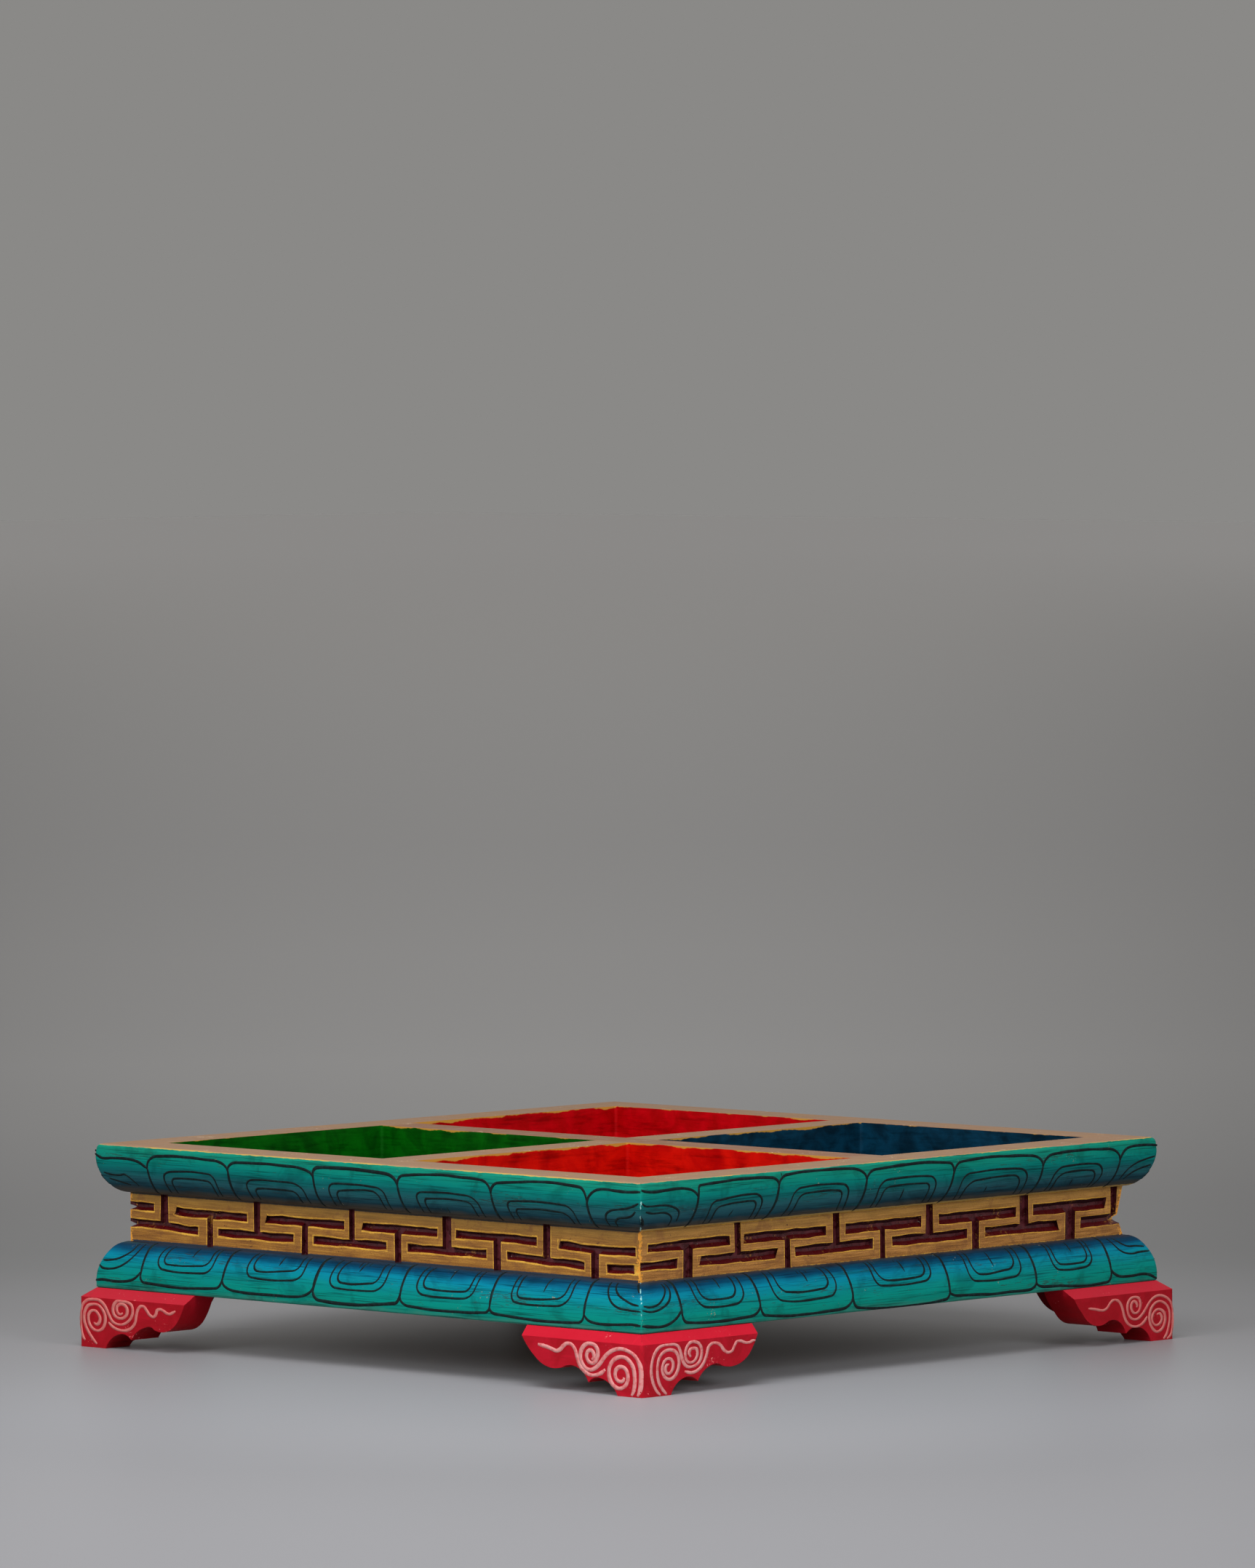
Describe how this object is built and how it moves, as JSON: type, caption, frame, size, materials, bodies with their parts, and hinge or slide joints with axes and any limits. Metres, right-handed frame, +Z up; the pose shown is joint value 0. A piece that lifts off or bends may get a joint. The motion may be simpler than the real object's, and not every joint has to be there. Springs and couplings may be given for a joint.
{
  "type": "decorative tray",
  "caption": "Square painted wooden tray with crossing dividers, a key-fret frieze between petal-moulded rails, and scalloped corner feet.",
  "frame": {"origin": "centre of the tray at the height of the feet's soles", "axes": "+Z up out of the compartments, -Y towards the front side, +X towards the right side"},
  "size_m": [0.309, 0.309, 0.081],
  "materials": {
    "petal_paint": "teal paint shading to blue, dark brushed petal lines, worn",
    "gilt_fret": "brushed gold paint over dark maroon grooves",
    "red_foot_paint": "crimson paint with pale brushed scrolls",
    "compartment_paint": "matte copper-tan rim, mottled paint in the compartments",
    "floor_paint": "mottled paint above, bare wood below",
    "bare_wood": "unpainted softwood"
  },
  "bodies": {
    "root": {"base_rail_back": "petal_paint", "base_rail_front": "petal_paint", "base_rail_left": "petal_paint", "base_rail_right": "petal_paint", "divider_front_to_back": "compartment_paint", "divider_left_to_right": "compartment_paint", "floor_panel": "floor_paint", "foot_bracket_back_at_left": "red_foot_paint", "foot_bracket_back_at_right": "red_foot_paint", "foot_bracket_front_at_left": "red_foot_paint", "foot_bracket_front_at_right": "red_foot_paint", "foot_bracket_left_at_back": "red_foot_paint", "foot_bracket_left_at_front": "red_foot_paint", "foot_bracket_right_at_back": "red_foot_paint", "foot_bracket_right_at_front": "red_foot_paint", "frieze_board_back": "gilt_fret", "frieze_board_front": "gilt_fret", "frieze_board_left": "gilt_fret", "frieze_board_right": "gilt_fret", "glue_block_back_left": "bare_wood", "glue_block_front_right": "bare_wood", "glue_block_left_front": "bare_wood", "glue_block_right_back": "bare_wood", "stack_dowels": "bare_wood", "top_rail_back": "petal_paint", "top_rail_front": "petal_paint", "top_rail_left": "petal_paint", "top_rail_right": "petal_paint"}
  },
  "joints": []
}
